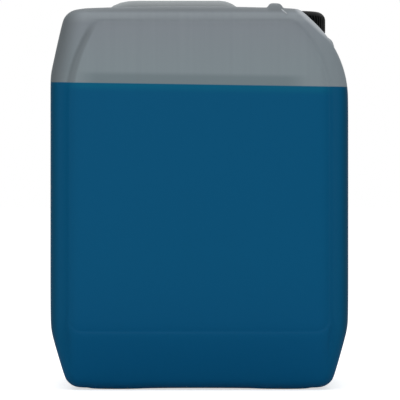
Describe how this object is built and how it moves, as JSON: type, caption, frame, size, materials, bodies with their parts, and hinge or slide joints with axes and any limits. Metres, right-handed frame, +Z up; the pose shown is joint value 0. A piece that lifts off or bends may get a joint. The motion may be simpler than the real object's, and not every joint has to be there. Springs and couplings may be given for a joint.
{
  "type": "heat transfer fluid jerrycan",
  "caption": "Stackable jerrycan of translucent plastic filled with blue heat transfer fluid, with a handle between two shoulders and a recessed screw cap at one end.",
  "frame": {"origin": "centre of the base, on the plane of the foot pads", "axes": "+X towards the neck end, -Y towards the front face, +Z up"},
  "size_m": [0.233, 0.19, 0.3095],
  "materials": {
    "natural_polyethylene": "translucent satin",
    "blue_fluid": "dark blue liquid",
    "black_plastic": "matt",
    "white_foam": "soft foam"
  },
  "bodies": {
    "can": {"canister": "natural_polyethylene", "fluid": "blue_fluid", "tamper_ring": "black_plastic"},
    "seal": {"cap_liner": "white_foam"},
    "cap": {"screw_cap": "black_plastic"}
  },
  "joints": [
    {"name": "cap_lift", "type": "slide", "parent": "can", "child": "seal", "axis": [0, 0, 1], "range_m": [0, 0.0198]},
    {"name": "cap_turn", "type": "hinge", "parent": "seal", "child": "cap", "pos_m": [0.0724, 0, 0.298], "axis": [0, 0, 1], "range_deg": [0, 1188]}
  ],
  "couplings": [
    {"joint": "cap_lift", "follows": "cap_turn", "m_per_rad": 0.00095493}
  ]
}
